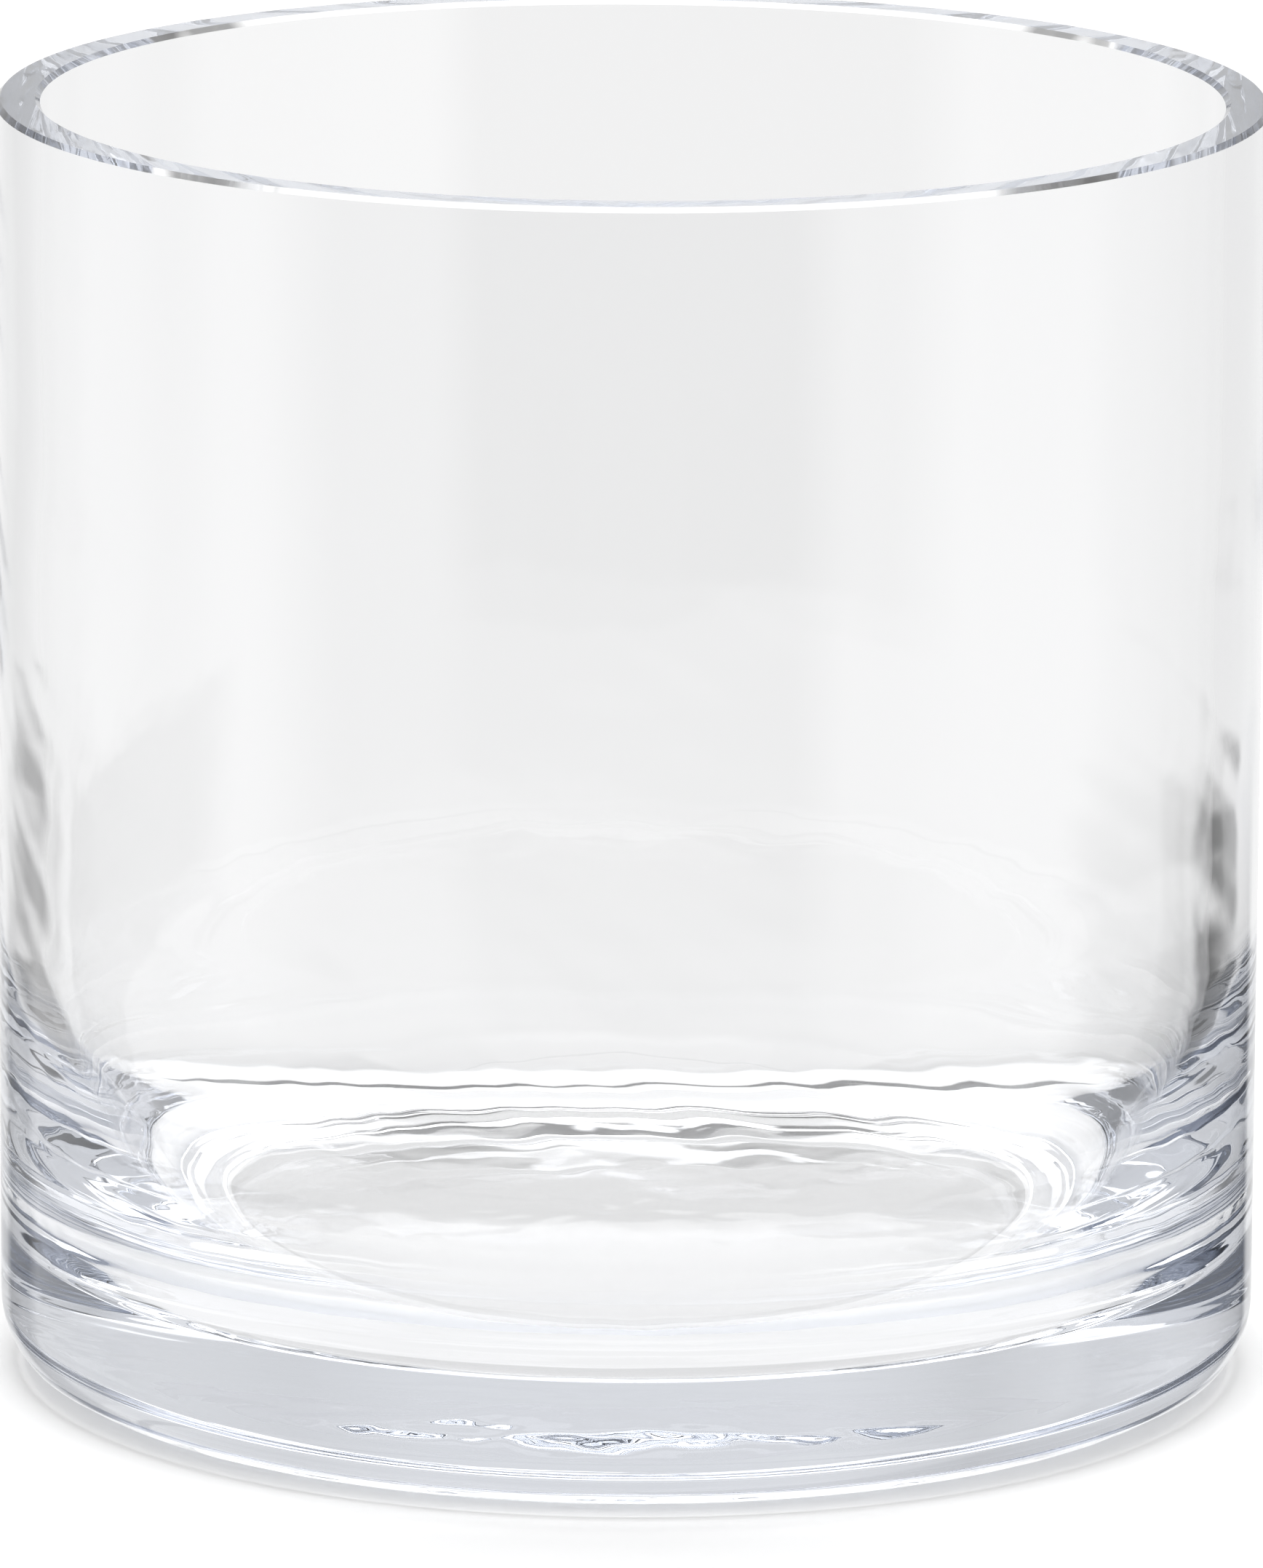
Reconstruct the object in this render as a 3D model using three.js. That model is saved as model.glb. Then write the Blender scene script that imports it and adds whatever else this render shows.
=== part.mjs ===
// Clear glass cylinder vase: one mouth-blown vessel with a thick base, straight sides and a
// ground and polished rim. Millimetres, +Z up, origin on the table under the centre of the base.
import * as THREE from 'three';

// Driving sizes. Each one can be set by itself.
const outerDiameter = 200;
const height = 204;
const wallThickness = 7;
const baseThickness = 16.5; // foot plane to the inner floor
const innerFilletAcross = 25; // inner wall to inner floor, along the floor
const innerFilletUp = 55; // the same, up the wall
const outerCornerAcross = 10; // outer wall to foot, along the foot
const outerCornerUp = 12; // the same, up the wall
const footRingWidth = 15; // flat ground ring that carries the vase
const puntDepth = 1.8; // shallow dish inside the foot ring
const innerRimBevel = 0.8;
const outerRimBevel = 0.8;
const turnSegments = 96;

// Sizes that follow from them.
const outerRadius = outerDiameter / 2;
const innerRadius = outerRadius - wallThickness;
const cavityDepth = height - baseThickness;
const filletAcross = Math.min(innerFilletAcross, innerRadius / 2);
const filletUp = Math.min(innerFilletUp, cavityDepth / 2);
const cornerAcross = Math.min(outerCornerAcross, outerRadius / 4);
const cornerUp = Math.min(outerCornerUp, baseThickness);
const footOuterRadius = outerRadius - cornerAcross;
const footInnerRadius = footOuterRadius - footRingWidth;
const puntRadius = (footInnerRadius ** 2 + puntDepth ** 2) / (2 * puntDepth);
const puntHalfAngle = THREE.MathUtils.radToDeg(Math.asin(footInnerRadius / puntRadius));

/** Points along part of an ellipse, first and last included. Angles in degrees. */
function roundStretch(centreX, centreY, across, up, startAngle, endAngle, steps) {
  const points = [];
  for (let i = 0; i <= steps; i += 1) {
    const angle = THREE.MathUtils.degToRad(startAngle + ((endAngle - startAngle) * i) / steps);
    points.push(new THREE.Vector2(
      centreX + across * Math.cos(angle),
      centreY + up * Math.sin(angle),
    ));
  }
  return points;
}

/** Half outline of the glass, from the middle of the underside round to the middle of the floor. */
function vesselOutline() {
  const punt = roundStretch(
    0, puntDepth - puntRadius, puntRadius, puntRadius, 90, 90 - puntHalfAngle, 8,
  );
  const corner = roundStretch(footOuterRadius, cornerUp, cornerAcross, cornerUp, -90, 0, 10);
  const rim = [
    new THREE.Vector2(outerRadius, height - outerRimBevel),
    new THREE.Vector2(outerRadius - outerRimBevel, height),
    new THREE.Vector2(innerRadius + innerRimBevel, height),
    new THREE.Vector2(innerRadius, height - innerRimBevel),
  ];
  const fillet = roundStretch(
    innerRadius - filletAcross, baseThickness + filletUp, filletAcross, filletUp, 0, -90, 12,
  );
  const outline = [...punt, ...corner, ...rim, ...fillet, new THREE.Vector2(0, baseThickness)];
  outline[0].x = 0;
  return outline;
}

/** The whole vessel: the outline turned once round the vertical axis. */
function makeVessel() {
  const geometry = new THREE.LatheGeometry(vesselOutline(), turnSegments);
  geometry.rotateX(Math.PI / 2);
  const glass = new THREE.MeshStandardMaterial({ color: 0xeef3f5, roughness: 0.02, metalness: 0 });
  const vessel = new THREE.Mesh(geometry, glass);
  vessel.name = 'glass_vessel';
  return vessel;
}

const vase = new THREE.Group();
vase.add(makeVessel());

export default vase;
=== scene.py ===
"""Clear glass cylinder vase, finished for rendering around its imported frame.

The vase is one mouth-blown vessel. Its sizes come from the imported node's box and from the named
sizes below, which repeat those of the part. Lengths are in metres and angles in degrees.
"""

import logging
import math
from dataclasses import dataclass
from enum import Enum

import bmesh
import bpy
from mathutils import Euler, Matrix, Vector, noise


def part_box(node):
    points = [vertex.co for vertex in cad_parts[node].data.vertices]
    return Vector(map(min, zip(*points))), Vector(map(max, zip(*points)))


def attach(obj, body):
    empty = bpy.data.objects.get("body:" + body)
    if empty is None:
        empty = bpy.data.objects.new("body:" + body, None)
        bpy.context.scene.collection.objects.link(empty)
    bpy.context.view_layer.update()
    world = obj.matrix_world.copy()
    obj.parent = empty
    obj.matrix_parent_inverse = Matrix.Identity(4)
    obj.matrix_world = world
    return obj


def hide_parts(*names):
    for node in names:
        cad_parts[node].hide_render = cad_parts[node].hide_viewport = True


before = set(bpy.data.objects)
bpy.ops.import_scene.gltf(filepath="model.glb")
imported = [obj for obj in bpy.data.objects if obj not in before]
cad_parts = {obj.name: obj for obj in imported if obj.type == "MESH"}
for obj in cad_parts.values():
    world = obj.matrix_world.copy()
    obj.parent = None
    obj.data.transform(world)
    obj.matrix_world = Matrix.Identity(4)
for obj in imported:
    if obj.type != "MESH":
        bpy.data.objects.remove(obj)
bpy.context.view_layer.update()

log = logging.getLogger("vase")

MM = 0.001
MERGE_DISTANCE = 1e-7
GLASS_BOUNCES = 96
PAPER_BOUNCES = 3

# Pairs of an angle and a brightness, with straight lines between them.
Stops = tuple[tuple[float, float], ...]


def linear(hex_colour: str) -> tuple[float, float, float, float]:
    """Turn an sRGB hex colour into linear RGBA.

    Args:
        hex_colour: Six hex digits, with or without a leading #.

    Returns:
        Linear red, green, blue and an alpha of one.
    """
    digits = hex_colour.lstrip("#")
    channels = [int(digits[i:i + 2], 16) / 255 for i in (0, 2, 4)]
    red, green, blue = (
        c / 12.92 if c <= 0.04045 else ((c + 0.055) / 1.055) ** 2.4 for c in channels
    )
    return red, green, blue, 1.0


def bare_material(name: str) -> bpy.types.Material:
    """Start a material that has no nodes yet.

    Args:
        name: The material's name.

    Returns:
        The new material.
    """
    material = bpy.data.materials.new(name)
    material.use_nodes = True
    material.node_tree.nodes.clear()
    return material


def add_node(tree: bpy.types.NodeTree, kind: str, settings: dict | None = None,
             links: dict | None = None, **attributes: object) -> bpy.types.Node:
    """Add one shader node with its settings and incoming links.

    Args:
        tree: The node tree that gets the node.
        kind: The node's type name.
        settings: Input socket name or index to its value.
        links: Input socket name or index to the output socket that feeds it.
        **attributes: Properties set on the node itself.

    Returns:
        The new node.
    """
    node = tree.nodes.new(kind)
    for name, value in attributes.items():
        setattr(node, name, value)
    for socket, value in (settings or {}).items():
        node.inputs[socket].default_value = value
    for socket, source in (links or {}).items():
        tree.links.new(source, node.inputs[socket])
    return node


@dataclass(frozen=True)
class ClearBlownGlass:
    """Clear heavy glass, mouth-blown, its walls left as fire-polished and its rim ground.

    It gives the eye clean refraction and hard bright and dark lines at the base, and only a faint
    cool grey where light runs a long way through it.
    """

    ior: float = 1.52
    roughness: float = 0.0
    tint: str = "ffffff"
    absorption_colour: str = "f5f6f8"
    absorption_per_metre: float = 18.0

    def make(self) -> bpy.types.Material:
        """Build the material.

        Returns:
            The clear glass.
        """
        material = bare_material("clear_blown_glass")
        tree = material.node_tree
        surface = add_node(tree, "ShaderNodeBsdfPrincipled", {
            "Base Color": linear(self.tint),
            "Roughness": self.roughness,
            "IOR": self.ior,
            "Transmission Weight": 1.0,
        })
        depth = add_node(tree, "ShaderNodeVolumeAbsorption", {
            "Color": linear(self.absorption_colour),
            "Density": self.absorption_per_metre,
        })
        add_node(tree, "ShaderNodeOutputMaterial", links={
            "Surface": surface.outputs["BSDF"],
            "Volume": depth.outputs["Volume"],
        })
        return material


@dataclass(frozen=True)
class WhitePaper:
    """Matt white paper, plain or with a painted soft grey shade where the foot of the vase stands.

    The white is an even ground; the grey edge is painted shade in place of the shade glass throws.
    """

    colour: str = "fdfdfd"
    # The painted shade: its grey, and the radii where it starts to fade and where it has gone.
    painted_shade_colour: str = "dadada"
    painted_shade_edge: tuple[float, float] = (94 * MM, 110 * MM)

    def plain(self) -> bpy.types.Material:
        """Build the plain paper.

        Returns:
            The material.
        """
        material = bare_material("white_paper")
        tree = material.node_tree
        flat = add_node(tree, "ShaderNodeBsdfDiffuse", {"Color": linear(self.colour)})
        add_node(tree, "ShaderNodeOutputMaterial", links={"Surface": flat.outputs["BSDF"]})
        return material

    def with_painted_shade(self) -> bpy.types.Material:
        """Build the paper with a painted shade: grey inside the shade's edge and white outside it.

        Returns:
            The material.
        """
        material = bare_material("painted_shade_paper")
        tree = material.node_tree
        start, end = self.painted_shade_edge
        place = add_node(tree, "ShaderNodeTexCoord")
        reach = add_node(tree, "ShaderNodeVectorMath", links={0: place.outputs["Object"]},
                         operation="LENGTH")
        clear = add_node(tree, "ShaderNodeMapRange", {"From Min": start, "From Max": end},
                         links={"Value": reach.outputs["Value"]}, interpolation_type="SMOOTHSTEP")
        colour = add_node(tree, "ShaderNodeMix",
                          {6: linear(self.painted_shade_colour), 7: linear(self.colour)},
                          links={"Factor": clear.outputs["Result"]}, data_type="RGBA")
        flat = add_node(tree, "ShaderNodeBsdfDiffuse", links={"Color": colour.outputs[2]})
        add_node(tree, "ShaderNodeOutputMaterial", links={"Surface": flat.outputs["BSDF"]})
        return material


@dataclass(frozen=True)
class GlowingCard:
    """A round white card under the foot, glowing evenly: painted light that brightens the thick base
    above it.
    """

    name: str
    radius: float
    depth: float
    brightness: float

    def make(self) -> bpy.types.Material:
        """Build the card's even glow, which is painted light.

        Returns:
            The material.
        """
        material = bare_material(self.name)
        tree = material.node_tree
        glow = add_node(tree, "ShaderNodeEmission", {"Strength": self.brightness})
        add_node(tree, "ShaderNodeOutputMaterial", links={"Surface": glow.outputs["Emission"]})
        return material


@dataclass(frozen=True)
class Waves:
    """One pattern of gentle unevenness in a glass surface.

    Depth is how far the surface strays, width is the size of a wave round the vase, rise its size up
    the vase, and lean how many degrees a wave moves round the axis for each millimetre that it climbs.
    """

    depth: float
    width: float
    rise: float
    lean: float = 0.0
    seed: float = 0.0

    def at(self, place: Vector) -> float:
        """Work out how far the surface strays at a place.

        Args:
            place: The place, before it strays.

        Returns:
            The distance, between minus and plus the depth.
        """
        turned = Matrix.Rotation(math.radians(self.lean) * place.z / MM, 3, "Z") @ place
        spot = Vector((turned.x / self.width, turned.y / self.width, place.z / self.rise))
        return self.depth * noise.noise(spot + Vector((self.seed, 2 * self.seed, -self.seed)))


def strays(patterns: tuple[Waves, ...], place: Vector) -> float:
    """Add up how far several patterns stray at a place, in or out."""
    return sum(waves.at(place) for waves in patterns)


def hollows(patterns: tuple[Waves, ...], place: Vector) -> float:
    """Add up how far several patterns lie below their own crests at a place, never above 0."""
    return sum(waves.at(place) - waves.depth for waves in patterns)


class Skin(Enum):
    """Which surface of the vessel a point lies on."""

    OUTSIDE = "outside"
    RIM = "rim"
    INSIDE = "inside"
    FOOT = "foot"
    UNDERSIDE = "underside"


@dataclass
class GlassVessel:
    """The vase itself: wall, thick base, rounded corners and ground rim, turned in one piece."""

    low: Vector
    high: Vector
    wall: float = 7 * MM
    base: float = 16.5 * MM
    fillet_across: float = 25 * MM
    fillet_up: float = 55 * MM
    corner_across: float = 10 * MM
    corner_up: float = 12 * MM
    foot_ring: float = 15 * MM
    punt: float = 1.8 * MM
    inner_bevel: float = 0.8 * MM
    outer_bevel: float = 0.8 * MM

    # The lip is a low step just inside the foot ring, which stands in a band of finer steps.
    lip: float = 0.3 * MM
    lip_width: float = 1.2 * MM
    lip_inset: float = 3.0 * MM
    lip_band: float = 9.0 * MM
    lip_waves: tuple[Waves, ...] = (
        Waves(0.9 * MM, 30 * MM, 30 * MM, seed=4.4),
        Waves(0.35 * MM, 5 * MM, 5 * MM, seed=8.8),
    )

    # The outer margin of the foot ring and the lowest edge above it are ground clear of the table.
    ground_margin: float = 5.0 * MM
    ground_edge: float = 3.0 * MM
    ground_lift: float = 0.25 * MM
    ground_edge_waves: tuple[Waves, ...] = (
        Waves(0.25 * MM, 12 * MM, 12 * MM, seed=6.1),
        Waves(0.16 * MM, 4.5 * MM, 4.5 * MM, seed=0.7),
    )

    # What blowing and turning leave on the other surfaces.
    inside_waves: tuple[Waves, ...] = (
        Waves(0.30 * MM, 38 * MM, 30 * MM, seed=3.1),
        Waves(0.05 * MM, 7 * MM, 45 * MM, lean=0.9, seed=7.7),
    )
    turning_waves: Waves = Waves(0.03 * MM, 40 * MM, 5 * MM, seed=1.3)
    underside_waves: tuple[Waves, ...] = (
        Waves(0.16 * MM, 15 * MM, 15 * MM, seed=5.2),
        Waves(0.05 * MM, 5 * MM, 5 * MM, seed=9.4),
    )
    outside_waves: tuple[Waves, ...] = (Waves(0.05 * MM, 40 * MM, 90 * MM, seed=2.6),)

    # Distances over which the waves grow from nothing, away from the rim, foot and foot ring.
    rim_fade: float = 12 * MM
    foot_fade: float = 12 * MM
    ring_fade: float = 6 * MM

    # Shares of the inside waves that are left towards the rim and towards the floor.
    rim_share: float = 0.15
    floor_share: float = 0.15

    # How finely each stretch of the outline is cut, and the whole turn.
    punt_steps: int = 30
    lip_steps: int = 18
    ring_steps: int = 14
    corner_steps: int = 28
    outside_steps: int = 40
    inside_steps: int = 50
    fillet_steps: int = 60
    floor_steps: int = 40
    turns: int = 320
    slack: float = 0.01 * MM
    sharp_angle: float = 25.0

    @property
    def outer_radius(self) -> float:
        """Radius of the outside wall."""
        return (self.high.x - self.low.x) / 2

    @property
    def inner_radius(self) -> float:
        """Radius of the mouth and of the straight part of the inside wall."""
        return self.outer_radius - self.wall

    @property
    def foot_outer(self) -> float:
        """Outer radius of the flat foot ring."""
        return self.outer_radius - self.corner_across

    @property
    def foot_inner(self) -> float:
        """Inner radius of the flat foot ring."""
        return self.foot_outer - self.foot_ring

    @property
    def height(self) -> float:
        """Height of the rim above the table."""
        return self.high.z

    @staticmethod
    def round_stretch(centre: tuple[float, float], across: float, up: float, start: float,
                      end: float, steps: int) -> list[Vector]:
        """Points on part of an ellipse in the XZ plane, first and last included.

        Args:
            centre: Distance from the axis and height of the ellipse's centre.
            across: Half of the ellipse's width.
            up: Half of the ellipse's height.
            start: First angle in degrees.
            end: Last angle in degrees.
            steps: How many stretches the curve is cut into.

        Returns:
            The points, from start to end.
        """
        angles = [math.radians(start + (end - start) * i / steps) for i in range(steps + 1)]
        return [Vector((centre[0] + across * math.cos(angle), 0.0, centre[1] + up * math.sin(angle)))
                for angle in angles]

    @staticmethod
    def straight(first: Vector, last: Vector, steps: int) -> list[Vector]:
        """Points that cut a straight stretch into equal steps, its ends left out."""
        return [first.lerp(last, i / steps) for i in range(1, steps)]

    def punt_arc(self) -> list[Vector]:
        """Points of the shallow dish under the base, cut finer in the band of the lip.

        Returns:
            The points, from the middle of the underside to the foot ring.
        """
        radius = (self.foot_inner ** 2 + self.punt ** 2) / (2 * self.punt)
        angle = math.degrees(math.asin(self.foot_inner / radius))
        plain = (1 - self.lip_band / self.foot_inner) * angle
        centre = (0, self.punt - radius)
        points = self.round_stretch(centre, radius, radius, 90, 90 - plain, self.punt_steps)
        points += self.round_stretch(centre, radius, radius, 90 - plain, 90 - angle,
                                     self.lip_steps)[1:]
        points[0].x = 0.0
        return points

    def outline(self) -> list[Vector]:
        """Half outline of the glass, from the middle of the underside to the middle of the floor.

        Returns:
            The points, in the XZ plane.
        """
        radius, inner, top = self.outer_radius, self.inner_radius, self.height
        punt = self.punt_arc()
        corner = self.round_stretch((self.foot_outer, self.corner_up), self.corner_across,
                                    self.corner_up, -90, 0, self.corner_steps)
        rim = [
            Vector((radius, 0, top - self.outer_bevel)),
            Vector((radius - self.outer_bevel, 0, top)),
            Vector((inner + self.inner_bevel, 0, top)),
            Vector((inner, 0, top - self.inner_bevel)),
        ]
        fillet = self.round_stretch((inner - self.fillet_across, self.base + self.fillet_up),
                                    self.fillet_across, self.fillet_up, 0, -90, self.fillet_steps)
        middle = Vector((0, 0, self.base))
        return [
            *punt,
            *self.straight(punt[-1], corner[0], self.ring_steps),
            *corner,
            *self.straight(corner[-1], rim[0], self.outside_steps),
            *rim,
            *self.straight(rim[-1], fillet[0], self.inside_steps),
            *fillet,
            *self.straight(fillet[-1], middle, self.floor_steps),
            middle,
        ]

    def build(self) -> bpy.types.Object:
        """Turn the outline round the axis and make it as uneven as blown and ground glass.

        Returns:
            The vessel, without its glass.
        """
        shape = bmesh.new()
        points = [shape.verts.new(point) for point in self.outline()]
        edges = [shape.edges.new(pair) for pair in zip(points, points[1:])]
        bmesh.ops.spin(shape, geom=[*points, *edges], cent=(0, 0, 0), axis=(0, 0, 1), dvec=(0, 0, 0),
                       angle=math.tau, steps=self.turns, use_merge=True, use_normal_flip=False)
        bmesh.ops.remove_doubles(shape, verts=shape.verts, dist=MERGE_DISTANCE)
        bmesh.ops.recalc_face_normals(shape, faces=shape.faces)
        self.make_uneven(shape)
        for face in shape.faces:
            face.smooth = True
        self.keep_rim_edges(shape)
        mesh = bpy.data.meshes.new("vessel")
        shape.to_mesh(mesh)
        shape.free()
        vessel = bpy.data.objects.new("vessel", mesh)
        bpy.context.scene.collection.objects.link(vessel)
        return vessel

    def skin_at(self, place: Vector) -> Skin:
        """Tell which surface of the vessel a place on the turned outline belongs to.

        Args:
            place: The place, before any unevenness.

        Returns:
            The surface.
        """
        reach = math.hypot(place.x, place.y)
        if place.z > self.height - self.outer_bevel - self.slack:
            return Skin.RIM
        if reach < self.foot_inner - self.slack and place.z < self.base / 2:
            return Skin.UNDERSIDE
        if place.z < self.slack:
            return Skin.FOOT
        within = reach < self.inner_radius + self.slack and place.z > self.base - self.slack
        return Skin.INSIDE if within else Skin.OUTSIDE

    def make_uneven(self, shape: bmesh.types.BMesh) -> None:
        """Move the surfaces gently, as blowing, turning and grinding leave them.

        The rim stays as it is, the outside wall only moves inwards, and nothing goes below the
        foot plane.

        Args:
            shape: The turned vessel.
        """
        shape.normal_update()
        ways = {
            Skin.INSIDE: self.wave_inside,
            Skin.UNDERSIDE: self.wave_underside,
            Skin.FOOT: self.grind_foot,
            Skin.OUTSIDE: self.wave_outside,
        }
        for point in shape.verts:
            skin = self.skin_at(point.co)
            if skin in ways:
                ways[skin](point)

    def over_lip(self, place: Vector, past: float) -> float:
        """Tell how far up a wavy ground step a place is.

        Args:
            place: The place.
            past: How far it lies past the line that the step follows.

        Returns:
            0 before the step and 1 after it.
        """
        return min(1.0, max(0.0, (past - strays(self.lip_waves, place)) / self.lip_width))

    def wave_inside(self, point: bmesh.types.BMVert) -> None:
        """Move a point of the inside, most low on the wall, less on the floor, not at the rim.

        Args:
            point: The point.
        """
        place = point.co.copy()
        below_rim = self.height - place.z
        by_rim = min(1.0, below_rim / self.rim_fade)
        by_depth = min(1.0, below_rim / self.height + self.rim_share)
        climb = min(1.0, place.z / (self.base + self.fillet_up))
        by_tool = self.floor_share + (1 - self.floor_share) * climb
        distance = by_tool * strays(self.inside_waves, place) + self.turning_waves.at(place)
        point.co += point.normal * distance * by_rim * by_depth

    def wave_underside(self, point: bmesh.types.BMVert) -> None:
        """Raise a point of the dish that is past the lip, and wave it more away from the ring.

        Args:
            point: The point.
        """
        place = point.co.copy()
        inwards = self.foot_inner - math.hypot(place.x, place.y)
        point.co.z += self.lip * self.over_lip(place, inwards - self.lip_inset)
        point.co.z += min(1.0, inwards / self.ring_fade) * strays(self.underside_waves, place)

    def grind_foot(self, point: bmesh.types.BMVert) -> None:
        """Raise a point of the foot ring that is in its outer margin.

        Args:
            point: The point.
        """
        place = point.co.copy()
        margin = math.hypot(place.x, place.y) - (self.foot_outer - self.ground_margin)
        point.co.z += self.ground_lift * self.over_lip(place, margin)

    def wave_outside(self, point: bmesh.types.BMVert) -> None:
        """Sink a point of the outside into its waves, and raise it where it is close to the foot.

        Args:
            point: The point.
        """
        place = point.co.copy()
        point.co.z += self.ground_lift * max(0.0, 1 - place.z / self.ground_edge)
        by_rim = min(1.0, (self.height - place.z) / self.rim_fade)
        by_foot = min(1.0, place.z / self.foot_fade)
        point.co += point.normal * hollows(self.outside_waves, place) * by_rim * by_foot
        by_edge = math.sin(math.pi * min(1.0, place.z / self.ground_edge))
        point.co += point.normal * by_edge * hollows(self.ground_edge_waves, place)

    def keep_rim_edges(self, shape: bmesh.types.BMesh) -> None:
        """Mark the ground edges of the rim sharp.

        Args:
            shape: The turned vessel.
        """
        for edge in shape.edges:
            if edge.calc_face_angle() > math.radians(self.sharp_angle):
                edge.smooth = False

    def dress(self, vessel: bpy.types.Object, glass: bpy.types.Material) -> None:
        """Give the vessel its glass."""
        vessel.data.materials.append(glass)


@dataclass(frozen=True)
class StudioCamera:
    """A long lens that looks down into the vase from a little above its rim."""

    aside: float = 0.4 * MM
    distance: float = 2.1
    height: float = 0.5627
    pitch: float = 12.6
    roll: float = 0.34
    lens: float = 311.3
    nearest: float = 0.01
    furthest: float = 100.0

    def place(self) -> bpy.types.Object:
        """Put the camera in front of the vase.

        Returns:
            The camera.
        """
        lens = bpy.data.cameras.new("camera")
        lens.lens = self.lens
        lens.clip_start = self.nearest
        lens.clip_end = self.furthest
        camera = bpy.data.objects.new("camera", lens)
        camera.location = (self.aside, -self.distance, self.height)
        tilt = Euler((math.radians(90 - self.pitch), 0, 0)).to_matrix()
        roll = Matrix.Rotation(math.radians(self.roll), 3, "Z")
        camera.rotation_euler = (tilt @ roll).to_euler()
        bpy.context.scene.collection.objects.link(camera)
        bpy.context.scene.camera = camera
        return camera


@dataclass(frozen=True)
class Studio:
    """White table and pale backdrop, a soft box on each side and two overhead with a gap between.

    Azimuth 0 is behind the vase as the camera sees it, 90 is to its right, 180 is behind the camera
    and 270 is to its left. The dark stretches give the glass its dark lines. Each soft edge is a pair
    of heights above the level, where it starts and ends.
    """

    # The table shows straight to the camera, with its painted shade round the foot. The plinth and the
    # cards, which lie closer to the foot, show only through the glass; the cards' glow is painted
    # light.
    paper: WhitePaper = WhitePaper()
    table_radius: float = 30.0
    table_depth: float = 0.1 * MM
    plinth_radius: float = 112 * MM
    plinth_depth: float = 0.05 * MM
    # Each card glows with painted light under the base.
    cards: tuple[GlowingCard, ...] = (
        GlowingCard("middle_glowing_card", 70 * MM, 0.02 * MM, 0.74),
        GlowingCard("ring_glowing_card", 89 * MM, 0.03 * MM, 1.0),
    )
    disc_sides: int = 96

    # By azimuth, above the floor's edge.
    backdrop: Stops = (
        (0, 0.94), (12, 0.94),  # paper behind the vase
        (22, 0.84), (58, 0.84), (66, 0.7), (80, 0.8),
        (88, 1.04), (122, 1.04), (130, 1.03), (140, 1.03),  # right soft box
        (150, 0.3), (235, 0.3),  # dark room behind the camera
        (252, 1.05), (304, 1.05), (310, 1.0),  # left soft box
        (320, 0.9), (336, 0.78),
        (348, 0.94), (360, 0.94),  # paper again
    )

    # By azimuth, below the floor's edge.
    floor: Stops = (
        (0, 0.94), (18, 0.94),  # paper behind the vase
        (22, 0.1), (84, 0.15),  # dark stretch at the back right, a painted shadow of the vase on the floor
        (92, 1.05), (140, 1.03), (150, 0.75), (235, 0.75), (256, 1.05), (318, 1.0),
        (323, 0.35), (336, 0.35),  # narrow dark stretch at the back left
        (341, 0.94), (360, 0.94),  # paper again
    )
    floor_edge: tuple[float, float] = (-13.8, -12.2)

    # By height above the level. The floor's brightness by azimuth is multiplied by this.
    floor_glow: Stops = (
        (-90, 1.0), (-50, 1.1),
        (-41.6, 1.3), (-41.2, 0.3), (-39.8, 0.3), (-39.4, 1.3),  # thin dark line, a painted contact shadow of the foot on the floor behind
        (-34.6, 1.3), (-33.8, 0.86), (-31, 0.93), (-26, 1.0), (0, 1.0), (90, 1.0),
    )

    # The soft boxes overhead reach further down at the back by the tilt. The gap between them runs
    # from left to right. Its middle is measured from straight up towards the back, and its half
    # width is where its soft edge starts and ends.
    overhead: float = 2.2
    overhead_edge: tuple[float, float] = (26.0, 31.0)
    overhead_tilt: float = 7.0
    gap: float = 0.06
    gap_middle: float = -5.0
    gap_half_width: tuple[float, float] = (14.0, 18.0)

    def build(self) -> None:
        """Lay the table and light the scene."""
        self.lay_table()
        self.surround()

    def lay_table(self) -> None:
        """Lay the wide table top and, closer to the foot, the plinth and the glowing cards of painted
        light.
        """
        self.lay("plinth", self.plinth_radius, self.plinth_depth, self.paper.plain(),
                 through_glass=True)
        # The table's paper carries the painted shade round the foot of the vase.
        self.lay("table", self.table_radius, self.table_depth, self.paper.with_painted_shade(),
                 through_glass=False)
        for card in self.cards:
            self.lay(card.name, card.radius, card.depth, card.make(), through_glass=True)

    def lay(self, name: str, radius: float, depth: float, finish: bpy.types.Material,
            through_glass: bool) -> None:
        """Lay one flat disc just below the foot of the vase.

        Args:
            name: The disc's name.
            radius: Its radius.
            depth: How far it lies below the foot plane.
            finish: Its material.
            through_glass: Whether it shows through the glass and not straight to the camera, or the
                other way round.
        """
        shape = bmesh.new()
        bmesh.ops.create_circle(shape, cap_ends=True, segments=self.disc_sides, radius=radius)
        mesh = bpy.data.meshes.new(name)
        shape.to_mesh(mesh)
        shape.free()
        disc = bpy.data.objects.new(name, mesh)
        disc.location.z = -depth
        disc.visible_glossy = False
        disc.visible_transmission = through_glass
        disc.visible_camera = not through_glass
        disc.visible_diffuse = not through_glass
        disc.visible_shadow = not through_glass
        bpy.context.scene.collection.objects.link(disc)
        disc.data.materials.append(finish)

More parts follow.
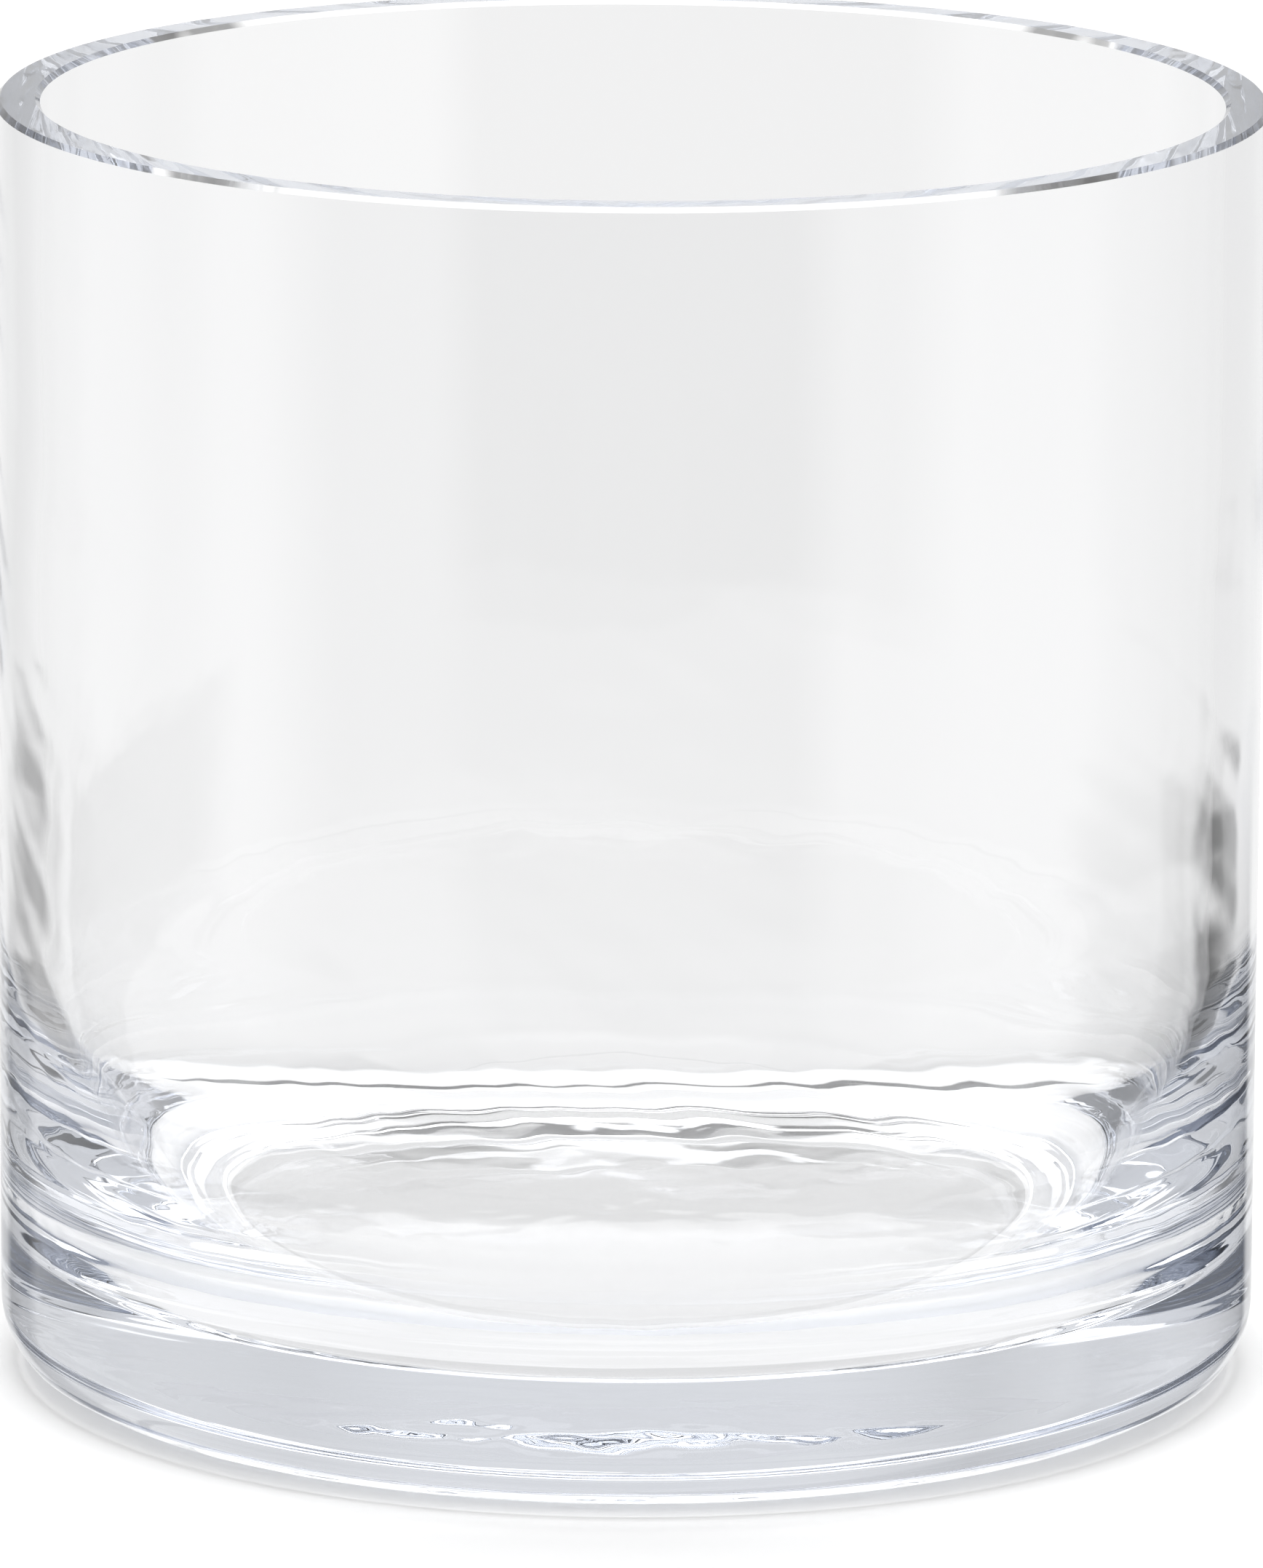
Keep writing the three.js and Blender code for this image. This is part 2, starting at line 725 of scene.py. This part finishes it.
    def surround(self) -> None:
        """Light the scene by its surroundings: floor below, backdrop above it, boxes overhead."""
        world = bpy.data.worlds.new("studio")
        bpy.context.scene.world = world
        world.use_nodes = True
        tree = world.node_tree
        tree.nodes.clear()
        direction = add_node(tree, "ShaderNodeTexCoord").outputs["Generated"]
        turn = self.azimuth(tree, direction)
        around = add_node(tree, "ShaderNodeMix", links={
            "Factor": self.above_edge(tree, direction, self.floor_edge),
            2: self.floor_light(tree, direction, turn),
            3: self.curve(tree, turn, self.by_turn(self.backdrop)),
        })
        tipped = self.tipped(tree, direction, self.overhead_tilt)
        whole = add_node(tree, "ShaderNodeMix", links={
            "Factor": self.above_edge(tree, tipped, self.overhead_edge),
            2: around.outputs[0],
            3: self.overhead_light(tree, direction),
        })
        sky = add_node(tree, "ShaderNodeBackground", {"Color": (1, 1, 1, 1)},
                       links={"Strength": whole.outputs[0]})
        add_node(tree, "ShaderNodeOutputWorld", links={"Surface": sky.outputs["Background"]})

    @staticmethod
    def azimuth(tree: bpy.types.NodeTree, direction: bpy.types.NodeSocket) -> bpy.types.NodeSocket:
        """Work out how far round the vase a direction points.

        Args:
            tree: The world's nodes.
            direction: The direction looked in.

        Returns:
            The azimuth, with a whole turn as 1.
        """
        from_behind = add_node(tree, "ShaderNodeMapping",
                               {"Scale": (1, -1, 1), "Rotation": (0, 0, math.radians(-90))},
                               links={"Vector": direction})
        return add_node(tree, "ShaderNodeTexGradient", links={"Vector": from_behind.outputs["Vector"]},
                        gradient_type="RADIAL").outputs["Fac"]

    def floor_light(self, tree: bpy.types.NodeTree, direction: bpy.types.NodeSocket,
                    turn: bpy.types.NodeSocket) -> bpy.types.NodeSocket:
        """Work out how bright the floor is.

        Args:
            tree: The world's nodes.
            direction: The direction looked in.
            turn: Its azimuth, with a whole turn as 1.

        Returns:
            The brightness.
        """
        parts = add_node(tree, "ShaderNodeSeparateXYZ", links={"Vector": direction})
        up = add_node(tree, "ShaderNodeMapRange", {"From Min": -1.0, "From Max": 1.0},
                      links={"Value": parts.outputs["Z"]})
        by_height = [(0.5 + 0.5 * math.sin(math.radians(height)), bright)
                     for height, bright in self.floor_glow]
        return add_node(tree, "ShaderNodeMath", links={
            0: self.curve(tree, turn, self.by_turn(self.floor)),
            1: self.curve(tree, up.outputs["Result"], by_height),
        }, operation="MULTIPLY").outputs["Value"]

    def overhead_light(self, tree: bpy.types.NodeTree,
                       direction: bpy.types.NodeSocket) -> bpy.types.NodeSocket:
        """Work out how bright the soft boxes overhead and the gap between them are.

        Args:
            tree: The world's nodes.
            direction: The direction looked in.

        Returns:
            The brightness.
        """
        tipped = self.tipped(tree, direction, self.gap_middle)
        parts = add_node(tree, "ShaderNodeSeparateXYZ", links={"Vector": tipped})
        off_middle = add_node(tree, "ShaderNodeMath", links={0: parts.outputs["Y"]},
                              operation="ABSOLUTE")
        inner, outer = (math.sin(math.radians(angle)) for angle in self.gap_half_width)
        return add_node(tree, "ShaderNodeMapRange", {
            "From Min": inner,
            "From Max": outer,
            "To Min": self.gap,
            "To Max": self.overhead,
        }, links={"Value": off_middle.outputs["Value"]},
            interpolation_type="SMOOTHSTEP").outputs["Result"]

    @staticmethod
    def by_turn(stops: Stops) -> list[tuple[float, float]]:
        """Turn the azimuths of some stops from degrees into shares of a whole turn."""
        return [(angle / 360, bright) for angle, bright in stops]

    @staticmethod
    def tipped(tree: bpy.types.NodeTree, direction: bpy.types.NodeSocket,
               angle: float) -> bpy.types.NodeSocket:
        """Tip a direction about the line from left to right, so that the back comes up."""
        return add_node(tree, "ShaderNodeMapping", {"Rotation": (math.radians(angle), 0, 0)},
                        links={"Vector": direction}).outputs["Vector"]

    @staticmethod
    def above_edge(tree: bpy.types.NodeTree, direction: bpy.types.NodeSocket,
                   edge: tuple[float, float]) -> bpy.types.NodeSocket:
        """Tell how far a direction is above a soft edge that runs all the way round.

        Args:
            tree: The world's nodes.
            direction: The direction looked in.
            edge: Heights in degrees where the edge starts and ends.

        Returns:
            0 below the edge and 1 above it.
        """
        start, end = (math.sin(math.radians(height)) for height in edge)
        parts = add_node(tree, "ShaderNodeSeparateXYZ", links={"Vector": direction})
        return add_node(tree, "ShaderNodeMapRange", {"From Min": start, "From Max": end},
                        links={"Value": parts.outputs["Z"]},
                        interpolation_type="SMOOTHSTEP").outputs["Result"]

    @staticmethod
    def curve(tree: bpy.types.NodeTree, place: bpy.types.NodeSocket,
              stops: list[tuple[float, float]]) -> bpy.types.NodeSocket:
        """Turn a place between 0 and 1 into a brightness.

        Args:
            tree: The world's nodes.
            place: The place.
            stops: Pairs of a place and its brightness.

        Returns:
            The brightness.
        """
        node = add_node(tree, "ShaderNodeFloatCurve", links={"Value": place})
        node.mapping.use_clip = False
        line = node.mapping.curves[0]
        line.points[0].location, line.points[1].location = stops[0], stops[-1]
        for stop in stops[1:-1]:
            line.points.new(*stop)
        for point in line.points:
            point.handle_type = "VECTOR"
        node.mapping.update()
        return node.outputs["Value"]


def set_view() -> None:
    """Set plain colours and enough bounces for thick glass."""
    scene = bpy.context.scene
    scene.view_settings.view_transform = "Standard"
    scene.cycles.max_bounces = GLASS_BOUNCES
    scene.cycles.transmission_bounces = GLASS_BOUNCES
    scene.cycles.glossy_bounces = GLASS_BOUNCES
    scene.cycles.diffuse_bounces = PAPER_BOUNCES
    scene.cycles.caustics_refractive = True
    scene.cycles.caustics_reflective = True
    scene.cycles.blur_glossy = 0.0


def main() -> None:
    """Build the vase and its studio, and report each piece."""
    logging.basicConfig(level=logging.INFO, format="%(name)s: %(message)s")
    set_view()
    StudioCamera().place()
    Studio().build()
    low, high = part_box("glass_vessel")
    vessel = GlassVessel(low, high)
    piece = vessel.build()
    vessel.dress(piece, ClearBlownGlass().make())
    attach(piece, "root")
    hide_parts("glass_vessel")
    log.info("%s: %d faces", piece.name, len(piece.data.polygons))


if __name__ == "__main__":
    main()
